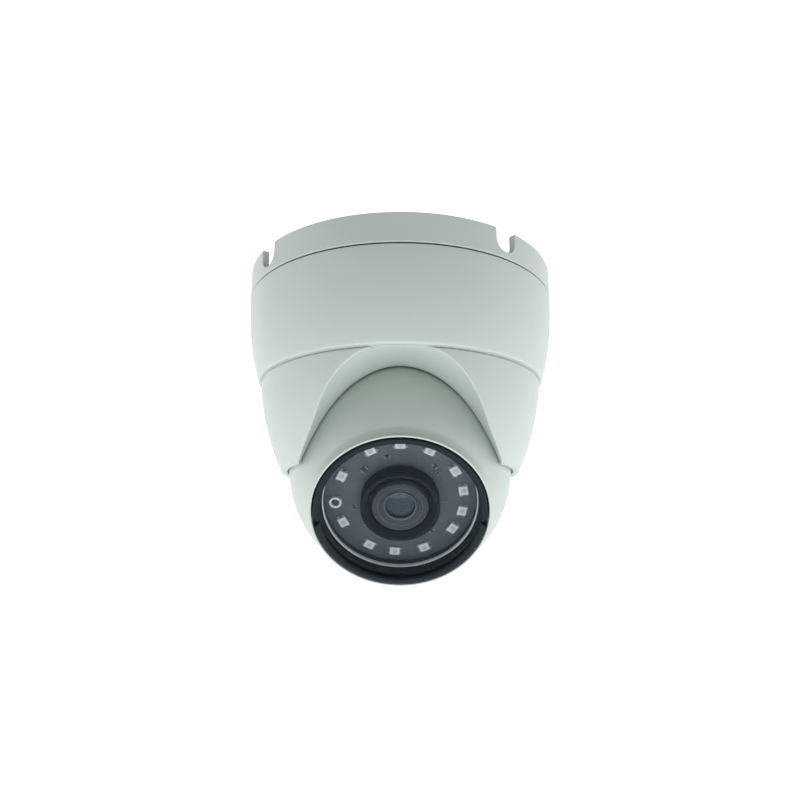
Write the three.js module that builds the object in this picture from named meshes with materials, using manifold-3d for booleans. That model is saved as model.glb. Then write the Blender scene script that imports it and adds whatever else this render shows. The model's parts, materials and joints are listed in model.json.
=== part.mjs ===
// A small ceiling-mounted dome camera with a ball that pans, tilts and rolls.
// Millimetres, +Z up. The origin is the centre of the plane that lies on the ceiling,
// and the camera hangs below it. The front of the camera faces -Y.
// An azimuth is an angle in degrees from the front, turning towards +X.

import * as THREE from 'three';
import { mergeVertices } from 'three/addons/utils/BufferGeometryUtils.js';
import Module from 'manifold-3d';

const wasm = await Module();
wasm.setup();

// ---------------------------------------------------------------- driving dimensions

const LARGE = 48; // sides of the large round pieces
const MEDIUM = 28; // sides of the rings around the window
const SMALL = 10; // sides of holes, pins and bosses
const THREAD = 8; // sides of the screws
const FIT = 0.3; // gap between pieces that turn in each other
const SEATED = 0.05; // gap between flat faces that are clamped together

// Fixed body
const RIM_R = 46.8;
const BODY_R = 46.7;
const BASE_WALL = 1.9;
const BASE_LOW = -8.4;
const FLOOR_HIGH = -7.0;
const FLOOR_LOW = -9.4;
const SPIGOT_R = 43.9;
const CABLE_HOLE_R = 9.0;
const NOTCH_WIDTH = 6.8;
const NOTCH_DEPTH = 6.4;
const NOTCH_AZIMUTHS = [37.5, 127.5, 217.5, 307.5];
const CEILING_BOSS = { radius: 33, outer: 5, hole: 2.3, azimuths: [60, 180, 300] };
const RING_SCREW = {
  radius: 41.3,
  azimuths: [0, 120, 240],
  shank: 1.2,
  head: 2.4,
  headHeight: 1.6,
  length: 9,
};
const RING_BOSS = { outer: 3.6, low: -19 };

const RING_TOP = -8.8;
const RING_BOTTOM = -34.18;
const RING_INNER_R = 44.4;
const LIP_R = 40.7;
const LIP_TOP = -31.9;

// Panning dome
const NECK_R = LIP_R - 0.4;
const DECK_TOP = -31.6;
const DECK_LOW = -33.5;
const SHOULDER_Z = -34.6;
const SHOULDER_R = 42.2;
const DOME_RIM_Z = -60.8;
const DOME_RIM_R = 35.3;
const DOME_WALL = 2.2;
const RIM_LAND = 4.0;
const SEAT_HOLE_R = 20.6;
const RETAINER = { inner: 34.5, outer: 41.5, top: -30.0 };
const RETAINER_SCREW = {
  radius: 37.5,
  azimuths: [60, 180, 300],
  shank: 0.95,
  head: 1.8,
  headHeight: 1.2,
  length: 3.2,
};
const PAN_STOP = { inner: 40.3, width: 3.2, top: -28.2 };
const LOCK_SCREW = { azimuth: 215, z: -30.2, radius: 1.2 };

// Ball and its tilt axis
const BALL_Z = -59.0;
const BALL_R = 32.9;
const BALL_INNER_R = 30.7;
const SOCKET_R = BALL_R + 0.5;
const LENS_BELOW_HORIZON = 40.7;
const PARTING_Z = -3.5;
const PARTING_GAP = 0.4;
const PIVOT_R = 0.9;
const PIVOT_END = 34.8;
const SLEEVE_R = 24.05;
const SLEEVE_WALL = 1.55;
const SLEEVE_BACK = 8.3;
const MOUTH_LIP = { baseR: 25.6, edgeR: 24.6, front: 23.7, bevel: 0.2 };
const BALL_SCREW = {
  radius: 28.2,
  angles: [0, 180],
  shank: 0.95,
  head: 1.8,
  headHeight: 1.4,
  seat: -8.6,
  length: 11,
};

// Window and the module behind it, measured along the lens axis from the ball's centre
const BEZEL_R = 23.7;
const BEZEL_FRONT = 23.9;
const BEZEL_INNER_R = 22.95;
const WINDOW_OPENING_R = 21.8;
const GLASS_R = 22.6;
const GLASS_FRONT = 22.8;
const GLASS_BACK = 21.0;
const BOARD_FRONT = 15.9;
const BOARD_THICK = 1.5;
const HOUSING_BACK = 8.4;
const LED_RING_R = 17.8;
const LED_ANGLES = [0, 27, 58, 80, 102, 123, 157, 185, 210, 245, 296, 333];
const LED_SIZE = [3.2, 2.8, 0.8];
const LED_CLAMP = { inner: 21.35, top: 18.9 };
const LENS_HOOD = { inner: 8.9, outer: 11.0, rim: 10.1, throat: 18.6 };
const LIGHT_SENSOR = { ringR: 18.1, radius: 1.8, height: 1.1 };
const LIGHT_SENSOR_ANGLE = 268;
const GRIP_NOTCH = { angles: [96, 264], halfWidth: 1.5, depth: 1.75, below: 1.2 };
const ROLL_STOP = { inner: 26.0, outer: 28.2, width: 3.0, low: 5.6, high: 8.0 };

// ---------------------------------------------------------------- finishes

const FINISHES = {
  paint: { color: 0xc9d1c9, roughness: 0.5, metalness: 0.0 },
  blackGloss: { color: 0x15191d, roughness: 0.25, metalness: 0.0 },
  blackMatte: { color: 0x1d2126, roughness: 0.8, metalness: 0.0 },
  rubber: { color: 0x16181a, roughness: 0.9, metalness: 0.0 },
  foam: { color: 0x2b3138, roughness: 1.0, metalness: 0.0 },
  glass: { color: 0xbfd0d8, roughness: 0.05, metalness: 0.0 },
  lens: { color: 0x2a3440, roughness: 0.08, metalness: 0.0 },
  board: { color: 0x39454b, roughness: 0.6, metalness: 0.0 },
  led: { color: 0xaab4b4, roughness: 0.4, metalness: 0.0 },
  steel: { color: 0xa9adb0, roughness: 0.35, metalness: 1.0 },
  aluminium: { color: 0xb4b9bb, roughness: 0.4, metalness: 1.0 },
  polymer: { color: 0xd8d6cc, roughness: 0.55, metalness: 0.0 },
  chip: { color: 0x202326, roughness: 0.5, metalness: 0.0 },
};

// ---------------------------------------------------------------- geometry helpers

const radians = THREE.MathUtils.degToRad;

function onCircle(radius, azimuth) {
  return [radius * Math.sin(radians(azimuth)), -radius * Math.cos(radians(azimuth))];
}

// Angles on the window are seen from in front of it: 0 is the top, and +X is at 90.
function onWindow(radius, angle) {
  return [radius * Math.sin(radians(angle)), radius * Math.cos(radians(angle))];
}

// A closed solid from any closed geometry, with its faces turned outwards.
function solid(geometry) {
  const bare = geometry.clone();
  bare.deleteAttribute('normal');
  bare.deleteAttribute('uv');
  const welded = mergeVertices(bare, 1e-4);
  const vertices = Float32Array.from(welded.attributes.position.array);
  const corner = (i) => new THREE.Vector3().fromArray(vertices, 3 * i);
  const triangles = [];
  let volume = 0;
  const index = welded.index.array;
  for (let i = 0; i < index.length; i += 3) {
    const [a, b, c] = [index[i], index[i + 1], index[i + 2]];
    if (a === b || b === c || c === a) continue;
    triangles.push(a, b, c);
    volume += corner(a).dot(corner(b).cross(corner(c)));
  }
  if (volume < 0) triangles.reverse();
  return new wasm.Manifold(
    new wasm.Mesh({ numProp: 3, vertProperties: vertices, triVerts: Uint32Array.from(triangles) }),
  );
}

function piece(name, finish, shape) {
  const mesh = shape.getMesh();
  const geometry = new THREE.BufferGeometry();
  geometry.setAttribute('position', new THREE.BufferAttribute(Float32Array.from(mesh.vertProperties), 3));
  geometry.setIndex(new THREE.BufferAttribute(Uint32Array.from(mesh.triVerts), 1));
  geometry.computeVertexNormals();
  const result = new THREE.Mesh(geometry, new THREE.MeshStandardMaterial(FINISHES[finish]));
  result.name = name;
  return result;
}

// A profile of [radius, height] points turned about +Z. It starts and ends on the axis or on itself.
function turned(profile, sides) {
  const points = profile.map(([r, z]) => new THREE.Vector2(r, z));
  return solid(new THREE.LatheGeometry(points, sides).rotateX(Math.PI / 2));
}

function ring(inner, outer, low, high, sides) {
  return turned([[inner, low], [outer, low], [outer, high], [inner, high], [inner, low]], sides);
}

function disc(radius, low, high, sides) {
  return turned([[0, low], [radius, low], [radius, high], [0, high]], sides);
}

function block(x, y, low, high) {
  return solid(new THREE.BoxGeometry(x, y, high - low).translate(0, 0, (low + high) / 2));
}

// A block that points away from the axis, between two radii, at an azimuth.
function radialBlock(inner, outer, width, low, high, azimuth) {
  const length = outer - inner;
  return block(width, length, low, high)
    .translate([0, -(inner + length / 2), 0])
    .rotate([0, 0, azimuth]);
}

// A cylinder that points away from the axis, between two radii, at an azimuth and a height.
function radialPin(radius, inner, outer, azimuth, z) {
  const pin = disc(radius, inner, outer, SMALL).rotate([90, 0, 0]);
  return pin.rotate([0, 0, azimuth]).translate([0, 0, z]);
}

// Points on an arc of a sphere's section about a centre on the axis, from one height to another.
function arc(radius, fromZ, toZ, steps) {
  const start = Math.asin(fromZ / radius);
  const end = Math.asin(toZ / radius);
  return Array.from({ length: steps + 1 }, (_, i) => {
    const angle = start + ((end - start) * i) / steps;
    return [radius * Math.cos(angle), radius * Math.sin(angle)];
  });
}

function curve(start, control, end, steps) {
  const vector = ([r, z]) => new THREE.Vector2(r, z);
  const path = new THREE.QuadraticBezierCurve(vector(start), vector(control), vector(end));
  return path.getPoints(steps).map((p) => [p.x, p.y]);
}

function ball(radius) {
  return turned(arc(radius, -radius, radius, LARGE / 3), LARGE - 8).translate([0, 0, BALL_Z]);
}

// A cheese-head screw whose head stands on height 0, with its shank below.
function screw(size) {
  const { shank, head, headHeight, length } = size;
  const crown = 0.3;
  return turned(
    [
      [0, -length],
      [shank * 0.6, -length],
      [shank, -length + 0.6],
      [shank, 0],
      [head, 0],
      [head, headHeight - crown],
      [head - crown, headHeight],
      [0, headHeight],
    ],
    THREAD,
  );
}

function screws(name, size, seatZ) {
  return size.azimuths.map((azimuth, i) => {
    const [x, y] = onCircle(size.radius, azimuth);
    const mesh = piece(`${name}_${i + 1}`, 'steel', screw(size));
    mesh.position.set(x, y, seatZ);
    return mesh;
  });
}

function drill(shape, size, low, high) {
  const hole = disc(size.shank + FIT, low, high, SMALL);
  return size.azimuths.reduce((left, azimuth) => {
    const [x, y] = onCircle(size.radius, azimuth);
    return left.subtract(hole.translate([x, y, 0]));
  }, shape);
}

// ---------------------------------------------------------------- fixed body

// A shallow cup that opens towards the ceiling, with U notches in its wall for the cable.
function mountingBase() {
  const edge = 0.5;
  let cup = turned(
    [
      [CABLE_HOLE_R, FLOOR_LOW],
      [SPIGOT_R, FLOOR_LOW],
      [SPIGOT_R, BASE_LOW],
      [BODY_R, BASE_LOW],
      [RIM_R, -edge],
      [RIM_R - edge, 0],
      [RIM_R - BASE_WALL, 0],
      [RIM_R - BASE_WALL, FLOOR_HIGH],
      [CABLE_HOLE_R, FLOOR_HIGH],
      [CABLE_HOLE_R, FLOOR_LOW],
    ],
    LARGE,
  );
  for (const azimuth of CEILING_BOSS.azimuths) {
    const [x, y] = onCircle(CEILING_BOSS.radius, azimuth);
    cup = cup.add(disc(CEILING_BOSS.outer, FLOOR_LOW, 0, 2 * SMALL).translate([x, y, 0]));
    cup = cup.subtract(disc(CEILING_BOSS.hole, FLOOR_LOW - 1, 1, SMALL).translate([x, y, 0]));
  }
  for (const azimuth of NOTCH_AZIMUTHS) {
    cup = cup.subtract(cableNotch().rotate([0, 0, azimuth]));
  }
  return drill(cup, RING_SCREW, FLOOR_LOW - 1, 1);
}

function cableNotch() {
  const half = NOTCH_WIDTH / 2;
  const outline = new THREE.Shape();
  outline.moveTo(-half, 1);
  outline.lineTo(-half, half - NOTCH_DEPTH);
  outline.absarc(0, half - NOTCH_DEPTH, half, Math.PI, 2 * Math.PI, false);
  outline.lineTo(half, 1);
  const depth = 8;
  const prism = new THREE.ExtrudeGeometry(outline, { depth, bevelEnabled: false, curveSegments: 5 });
  return solid(prism.rotateX(Math.PI / 2).translate(0, depth / 2 - RIM_R, 0));
}

// The wide ring that hides the pan bearing. The lip at its bottom carries the dome.
function bodyRing() {
  const outside = curve([BODY_R, RING_TOP], [46.5, -23], [43.3, -33.2], 6);
  const inside = curve([RING_INNER_R, -16], [44.2, -23], [41.9, LIP_TOP], 3);
  let shape = turned(
    [
      [RING_INNER_R, RING_TOP],
      ...outside,
      [42.95, -33.9],
      [42.3, RING_BOTTOM],
      [LIP_R, RING_BOTTOM],
      [LIP_R, LIP_TOP],
      ...inside.reverse(),
      [RING_INNER_R, RING_TOP],
    ],
    LARGE,
  );
  for (const azimuth of RING_SCREW.azimuths) {
    const [x, y] = onCircle(RING_SCREW.radius, azimuth);
    const boss = disc(RING_BOSS.outer, RING_BOSS.low, FLOOR_LOW, 2 * SMALL).translate([x, y, 0]);
    shape = shape.add(boss.intersect(disc(RING_INNER_R + 0.2, RING_BOSS.low - 1, RING_TOP, LARGE)));
  }
  shape = drill(shape, RING_SCREW, RING_BOSS.low + 1, 0);
  shape = shape.add(panStop(RETAINER.top + FIT, 180, 42.9));
  return shape.subtract(radialPin(LOCK_SCREW.radius + FIT, 40, 50, LOCK_SCREW.azimuth, LOCK_SCREW.z));
}

function panStop(low, azimuth, outer) {
  return radialBlock(PAN_STOP.inner, outer, PAN_STOP.width, low, PAN_STOP.top, azimuth);
}

function cableGrommet() {
  const [bore, waist, flange] = [3.2, CABLE_HOLE_R - FIT, 10.6];
  return turned(
    [
      [bore, FLOOR_LOW - 1.3],
      [flange - 0.6, FLOOR_LOW - 1.3],
      [flange, FLOOR_LOW - SEATED],
      [waist, FLOOR_LOW - SEATED],
      [waist, FLOOR_HIGH + SEATED],
      [flange, FLOOR_HIGH + SEATED],
      [flange - 0.6, FLOOR_HIGH + 1.2],
      [bore, FLOOR_HIGH + 1.2],
      [bore, FLOOR_LOW - 1.3],
    ],
    MEDIUM,
  );
}

function fixedBody() {
  const group = new THREE.Group();
  group.add(piece('mounting_base', 'paint', mountingBase()));
  group.add(piece('base_gasket', 'rubber', ring(44.7, 46.25, RING_TOP, BASE_LOW, LARGE)));
  group.add(piece('body_ring', 'paint', bodyRing()));
  group.add(...screws('ring_screw', RING_SCREW, FLOOR_HIGH));
  group.add(piece('pan_washer', 'polymer', ring(LIP_R, LIP_R + 1.2, RING_BOTTOM - FIT, RING_BOTTOM, LARGE)));
  group.add(piece('cable_grommet', 'rubber', cableGrommet()));
  const { radius, azimuth, z } = LOCK_SCREW;
  group.add(piece('lock_screw', 'steel', radialPin(radius, 41.9, 43.9, azimuth, z)));
  return group;
}

// ---------------------------------------------------------------- panning dome

const ARCH = { apex: DECK_LOW, width: 23, height: 21.5, springZ: -50, faceY: -41, throatY: -22 };

// Half the width of the arch where it meets the dome's face.
function faceHalfWidth(z) {
  if (z > ARCH.springZ) {
    const fromCentre = (z - ARCH.apex + ARCH.height) / ARCH.height;
    return ARCH.width * Math.sqrt(Math.max(0, 1 - fromCentre ** 2));
  }
  const start = faceHalfWidth(ARCH.springZ + 1e-6);
  const drop = ARCH.springZ - z;
  return start + 0.26 * drop + 0.0205 * drop ** 2;
}

// Half its width where it meets the ball.
function throatHalfWidth(z) {
  return Math.sqrt(27.5 * Math.max(0, ARCH.apex - z));
}

// The arch-shaped tunnel that the ball looks out of, grown on all sides by a wall thickness.
function archTunnel(grow) {
  const [frontY, backY] = [-48, -12];
  const bottom = -65;
  const steps = 9;
  const widthAt = (y, z) => {
    const share = (ARCH.throatY - y) / (ARCH.throatY - ARCH.faceY);
    const throat = throatHalfWidth(z);
    return throat + (faceHalfWidth(z) - throat) * share;
  };
  const right = Array.from({ length: steps }, (_, i) => {
    const share = (i + 1) / steps;
    return ARCH.apex + (bottom - ARCH.apex) * share ** 2;
  });
  const levels = [...right].reverse().map((z) => [-1, z]);
  const outline = [...levels, [0, ARCH.apex], ...right.map((z) => [1, z])];
  const shape = new THREE.Shape(outline.map(([side, z]) => new THREE.Vector2(side * (1 + ARCH.apex - z), z)));
  const prism = new THREE.ExtrudeGeometry(shape, { depth: frontY - backY, bevelEnabled: false });
  prism.rotateX(Math.PI / 2);
  const position = prism.attributes.position;
  const ends = [position.getY(0), backY - frontY];
  for (let i = 0; i < position.count; i += 1) {
    const atBack = Math.abs(position.getY(i) - ends[0]) < 1;
    const y = atBack ? backY : frontY;
    const z = position.getZ(i);
    const x = Math.sign(Math.round(position.getX(i) * 1e3)) * (widthAt(y, z) + grow);
    position.setXYZ(i, x, y, z + grow);
  }
  return solid(prism);
}

// The dome's shell, its deck, and the tunnel's wall down to the ball.
function domeCover() {
  const edge = 0.35;
  const face = curve([DOME_RIM_R, DOME_RIM_Z + edge], [41.0, -48.7], [SHOULDER_R, SHOULDER_Z - edge], 6);
  const outside = turned(
    [
      [0, DOME_RIM_Z],
      [DOME_RIM_R - edge, DOME_RIM_Z],
      ...face,
      [SHOULDER_R - edge, SHOULDER_Z],
      [NECK_R, SHOULDER_Z],
      [NECK_R, DECK_TOP],
      [0, DECK_TOP],
    ],
    LARGE,
  );
  const landTop = DOME_RIM_Z + RIM_LAND;
  const cavity = turned(
    [
      [0, landTop],
      [34.6, landTop],
      ...curve([34.8, landTop + 0.5], [38.6, -47], [SHOULDER_R - DOME_WALL, -37.5], 3),
      [NECK_R - DOME_WALL, -36],
      [NECK_R - DOME_WALL, DECK_LOW],
      [0, DECK_LOW],
    ],
    LARGE,
  );
  const wall = 1.7;
  let cover = outside.subtract(cavity).add(archTunnel(wall).intersect(outside));
  cover = cover.subtract(archTunnel(0));
  cover = cover.subtract(ball(SOCKET_R));
  cover = cover.subtract(disc(SEAT_HOLE_R, DECK_LOW - 1, DECK_TOP + 1, LARGE));
  for (const azimuth of [90, 270]) {
    cover = cover.subtract(radialPin(PIVOT_R + FIT, SOCKET_R - 1, PIVOT_END + FIT, azimuth, BALL_Z));
  }
  return drill(cover, RETAINER_SCREW, DECK_LOW - 1, DECK_TOP + 1);
}

function panRetainer() {
  const plate = ring(RETAINER.inner, RETAINER.outer, DECK_TOP, RETAINER.top, MEDIUM);
  return drill(plate.add(panStop(DECK_TOP, 0, RETAINER.outer - 0.1)), RETAINER_SCREW, -40, -20);
}

// A ring with a hollow underside that rests on the top of the ball.
function seatRing() {
  const [inner, outer, top] = [12, 19.8, -26.2];
  const contact = BALL_R + 0.25;
  const heightAt = (r) => Math.sqrt(contact ** 2 - r ** 2);
  const underside = arc(contact, heightAt(outer), heightAt(inner), 5).map(([r, z]) => [r, z + BALL_Z]);
  return turned([...underside, [inner, top], [outer, top], underside[0]], MEDIUM);
}

// A hat-shaped cap that holds the seat ring and its spring down on the ball.
function seatPlate() {
  const [bore, wallInner, wallOuter, flange] = [9, 20.9, 22.1, 28];
  const [low, high, thick] = [DECK_TOP, -22.8, 1.2];
  return turned(
    [
      [bore, high - thick],
      [wallInner, high - thick],
      [wallInner, low],
      [flange, low],
      [flange, low + thick],
      [wallOuter, low + thick],
      [wallOuter, high - 0.4],
      [wallOuter - 0.4, high],
      [bore, high],
      [bore, high - thick],
    ],
    MEDIUM,
  );
}

function panningDome() {
  const group = new THREE.Group();
  group.add(piece('dome_cover', 'paint', domeCover()));
  group.add(piece('pan_retainer', 'steel', panRetainer()));
  group.add(...screws('retainer_screw', RETAINER_SCREW, RETAINER.top));
  group.add(piece('seat_ring', 'polymer', seatRing()));
  group.add(piece('seat_spring', 'steel', ring(13, 18.8, -26.1, -24.1, MEDIUM)));
  group.add(piece('seat_plate', 'steel', seatPlate()));
  return group;
}

// ---------------------------------------------------------------- tilting ball
// Everything from here on is in the ball's own frame: its centre is the origin,
// +Z is the lens axis and +Y is the top of the picture.

// The front half of the ball. Round its mouth the skin rises into a low lip, level with the bezel.
function frontShell() {
  const { baseR, edgeR, front, bevel } = MOUTH_LIP;
  const lipBase = Math.sqrt(BALL_R ** 2 - baseR ** 2);
  const sleeveOuter = SLEEVE_R + SLEEVE_WALL;
  const sleeveFront = Math.sqrt(BALL_INNER_R ** 2 - sleeveOuter ** 2);
  let shell = turned(
    [
      ...arc(BALL_INNER_R, PARTING_Z, sleeveFront, 3),
      [sleeveOuter, SLEEVE_BACK],
      [SLEEVE_R, SLEEVE_BACK],
      [SLEEVE_R, front - bevel],
      [SLEEVE_R + bevel, front],
      [edgeR - bevel, front],
      [edgeR, front - bevel],
      ...arc(BALL_R, lipBase, PARTING_Z, 6),
      [BALL_INNER_R * Math.cos(Math.asin(PARTING_Z / BALL_INNER_R)), PARTING_Z],
    ],
    LARGE,
  );
  const body = turned(arc(BALL_R - 1, 1 - BALL_R, BALL_R - 1, 12), MEDIUM);
  for (const angle of BALL_SCREW.angles) {
    const [x, y] = onWindow(BALL_SCREW.radius, angle);
    const boss = disc(2.6, PARTING_Z, 4.2, 2 * SMALL).translate([x, y, 0]);
    shell = shell.add(boss.intersect(body));
    shell = shell.subtract(disc(BALL_SCREW.shank + FIT, PARTING_Z - 1, 3.4, SMALL).translate([x, y, 0]));
  }
  for (const side of [90, 270]) {
    shell = shell.add(radialPin(2.8, 27.6, 31.6, side, 0));
    shell = shell.subtract(radialPin(PIVOT_R + FIT, 27, 34, side, 0));
  }
  const { inner, width, low, high } = ROLL_STOP;
  const rollStop = radialBlock(inner + 0.7, 30, width, low, high, 180);
  return shell.add(rollStop.intersect(body));
}

function rearShell() {
  const front = PARTING_Z - PARTING_GAP;
  const mouth = 6.0;
  const inside = arc(BALL_INNER_R, front, -Math.sqrt(BALL_INNER_R ** 2 - mouth ** 2), 5);
  const outside = arc(BALL_R, -Math.sqrt(BALL_R ** 2 - mouth ** 2), front, 8);
  let shell = turned([...inside, ...outside, inside[0]], LARGE);
  const body = turned(arc(BALL_R - 1, 1 - BALL_R, front, 12).concat([[0, front]]), MEDIUM);
  for (const angle of BALL_SCREW.angles) {
    const [x, y] = onWindow(BALL_SCREW.radius, angle);
    const column = disc(3.4, -20, front, 2 * SMALL).translate([x, y, 0]);
    shell = shell.add(column.intersect(body));
    shell = shell.subtract(disc(BALL_SCREW.head + FIT, -24, BALL_SCREW.seat, SMALL).translate([x, y, 0]));
    shell = shell.subtract(disc(BALL_SCREW.shank + FIT, -24, front + 1, SMALL).translate([x, y, 0]));
  }
  return shell;
}

function ballGrommet() {
  const [bore, plug, flange] = [2.6, 5.7, 8];
  return turned(
    [
      [bore, -31.9],
      [plug - 0.5, -31.9],
      [plug, -31.4],
      [plug, -29.2],
      [flange, -29.2],
      [flange, -28.1],
      [bore, -28.1],
      [bore, -31.9],
    ],
    MEDIUM / 2,
  );
}

function ballShells() {
  const sealBack = PARTING_Z - PARTING_GAP + SEATED;
  const pieces = [
    piece('ball_front_shell', 'paint', frontShell()),
    piece('ball_rear_shell', 'paint', rearShell()),
    piece('ball_seal', 'rubber', ring(31.0, 32.3, sealBack, PARTING_Z - SEATED, LARGE)),
    piece('ball_grommet', 'rubber', ballGrommet()),
    piece('pivot_pin_right', 'steel', radialPin(PIVOT_R, 28, PIVOT_END, 90, 0)),
    piece('pivot_pin_left', 'steel', radialPin(PIVOT_R, 28, PIVOT_END, 270, 0)),
  ];
  BALL_SCREW.angles.forEach((angle, i) => {
    const [x, y] = onWindow(BALL_SCREW.radius, angle);
    const mesh = piece(`ball_screw_${i + 1}`, 'steel', screw(BALL_SCREW));
    mesh.rotation.x = Math.PI;
    mesh.position.set(x, y, BALL_SCREW.seat - SEATED);
    pieces.push(mesh);
  });
  return pieces;
}

// ---------------------------------------------------------------- rolling camera module

// The black ring round the window, with two notches for a tool or two fingertips.
function bezel() {
  const [chamfer, back] = [0.4, 16.2];
  let shape = turned(
    [
      [BEZEL_INNER_R, back],
      [BEZEL_R, back],
      [BEZEL_R, BEZEL_FRONT - chamfer],
      [BEZEL_R - chamfer, BEZEL_FRONT],
      [WINDOW_OPENING_R + 0.6, BEZEL_FRONT],
      [WINDOW_OPENING_R, BEZEL_FRONT - 0.6],
      [WINDOW_OPENING_R, GLASS_FRONT + SEATED],
      [BEZEL_INNER_R, GLASS_FRONT + SEATED],
      [BEZEL_INNER_R, back],
    ],
    LARGE,
  );
  const { halfWidth, depth, below } = GRIP_NOTCH;
  const corners = [[-halfWidth, 0], [0, depth], [halfWidth, 0]];
  const outline = new THREE.Shape(corners.map(([x, y]) => new THREE.Vector2(x, y)));
  const wedge = new THREE.ExtrudeGeometry(outline, { depth: 3, bevelEnabled: false });
  for (const angle of GRIP_NOTCH.angles) {
    const cut = solid(wedge).rotate([0, 0, 180 - angle]);
    const [x, y] = onWindow(BEZEL_R + 0.35, angle);
    shape = shape.subtract(cut.translate([x, y, BEZEL_FRONT - below]));
  }
  return shape;
}

// The metal cup that carries the light board and takes its heat.
function moduleHousing() {
  const seat = BOARD_FRONT - BOARD_THICK - SEATED;
  const [bore, rim] = [9.5, 16.1];
  let cup = turned(
    [
      [bore, HOUSING_BACK],
      [BEZEL_R - 0.1, HOUSING_BACK],
      [BEZEL_R - 0.1, rim],
      [22.75, rim],
      [22.75, seat],
      [20.3, seat],
      [20.3, HOUSING_BACK + 1.8],
      [bore, HOUSING_BACK + 1.8],
      [bore, HOUSING_BACK],
    ],
    MEDIUM,
  );
  cup = cup.subtract(disc(1.8, HOUSING_BACK - 1, seat + 1, SMALL).translate([0, -14.5, 0]));
  return cup;
}

// The ring behind the ball's sleeve that keeps the module in, with the tooth that stops its roll.
function moduleRetainer() {
  const back = 6.7;
  const plate = ring(21.2, ROLL_STOP.inner, back, HOUSING_BACK - SEATED - FIT, MEDIUM);
  const { inner, outer, width, low, high } = ROLL_STOP;
  const tooth = radialBlock(inner - 1, outer, width, low, high, 0);
  return plate.add(tooth);
}

function lensBarrel() {
  return turned(
    [
      [4.3, 6.2],
      [6.0, 6.2],
      [6.0, 12.0],
      [8.1, 12.6],
      [8.1, 19.7],
      [7.7, 20.2],
      [7.2, 20.2],
      [4.7, 19.4],
      [4.3, 19.2],
      [4.3, 6.2],
    ],
    MEDIUM,
  );
}

function lensFrontGlass() {
  const [radius, back, edge, crown] = [4.05, 16.4, 18.7, 19.2];
  return turned(
    [
      [0, back],
      [radius, back],
      [radius, edge],
      ...curve([radius, edge], [radius * 0.55, crown], [0, crown], 4).slice(1),
    ],
    MEDIUM / 2,
  );
}

function lensHolder() {
  const base = block(18, 18, 0.3, 4.4).subtract(block(13, 13, -1, 3.2));
  return base.add(disc(8, 4.3, 11.6, 2 * SMALL)).subtract(disc(6.3, 3.0, 13, 2 * SMALL));
}

// The wires from the light board to the power board, laid round the edge of the sensor board.
function ledHarness() {
  const boardBack = BOARD_FRONT - BOARD_THICK;
  const route = [[0, -14.5, boardBack - 0.4], [0, -14.5, 8], [0, -18.6, 2], [0, -18.6, -5], [0, -14.5, -9.6]];
  const path = new THREE.CatmullRomCurve3(route.map((p) => new THREE.Vector3(...p)));
  const section = new THREE.Shape().absarc(0, 0, 0.8, 0, 2 * Math.PI, false);
  const settings = { steps: 20, bevelEnabled: false, curveSegments: 4, extrudePath: path };
  return solid(new THREE.ExtrudeGeometry(section, settings));
}

// The foam hood round the lens, which keeps stray infrared light off it. Its front slopes in.
function lensSleeve() {
  const { inner, outer, rim, throat } = LENS_HOOD;
  const [back, front] = [BOARD_FRONT + SEATED, GLASS_BACK - 0.1];
  const outline = [
    [inner, back],
    [outer, back],
    [outer, front],
    [rim, front],
    [inner, throat],
    [inner, back],
  ];
  return turned(outline, MEDIUM);
}

function windowStack() {
  const boardEdge = GLASS_R - 0.1;
  const boardBack = BOARD_FRONT - BOARD_THICK;
  const seat = BOARD_FRONT + SEATED;
  const [baffleLow, baffleHigh, baffleR] = [LED_CLAMP.top + SEATED, 20.45, 22.0];
  const [sealBack, sealR] = [20.5, 21.9];
  const baffle = [
    [21.5, baffleLow],
    [GLASS_R, baffleLow],
    [GLASS_R, baffleHigh],
    [baffleR, baffleHigh],
    [21.5, baffleLow],
  ];
  return [
    piece('bezel', 'blackGloss', bezel()),
    piece('window_glass', 'glass', disc(GLASS_R, GLASS_BACK, GLASS_FRONT, LARGE)),
    piece('window_seal', 'rubber', ring(sealR, GLASS_R, sealBack, GLASS_BACK - SEATED, MEDIUM)),
    piece('baffle_ring', 'blackMatte', turned(baffle, MEDIUM)),
    piece('led_retainer', 'aluminium', ring(LED_CLAMP.inner, GLASS_R, seat, LED_CLAMP.top, MEDIUM)),
    piece('led_board', 'board', ring(8.9, boardEdge, boardBack, BOARD_FRONT, MEDIUM)),
    piece('lens_sleeve', 'foam', lensSleeve()),
  ];
}

function infraredLeds() {
  const [width, length, height] = LED_SIZE;
  return LED_ANGLES.map((angle, i) => {
    const number = String(i + 1).padStart(2, '0');
    const [x, y] = onWindow(LED_RING_R, angle);
    const mesh = piece(`ir_led_${number}`, 'led', block(width, length, 0, height));
    mesh.position.set(x, y, BOARD_FRONT + SEATED);
    mesh.rotation.z = -radians(angle);
    return mesh;
  });
}

function lightSensor() {
  const { ringR, radius, height } = LIGHT_SENSOR;
  const [x, y] = onWindow(ringR, LIGHT_SENSOR_ANGLE);
  const mesh = piece('light_sensor', 'chip', disc(radius, 0, height, 2 * SMALL));
  mesh.position.set(x, y, BOARD_FRONT + SEATED);
  return mesh;
}

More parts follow.
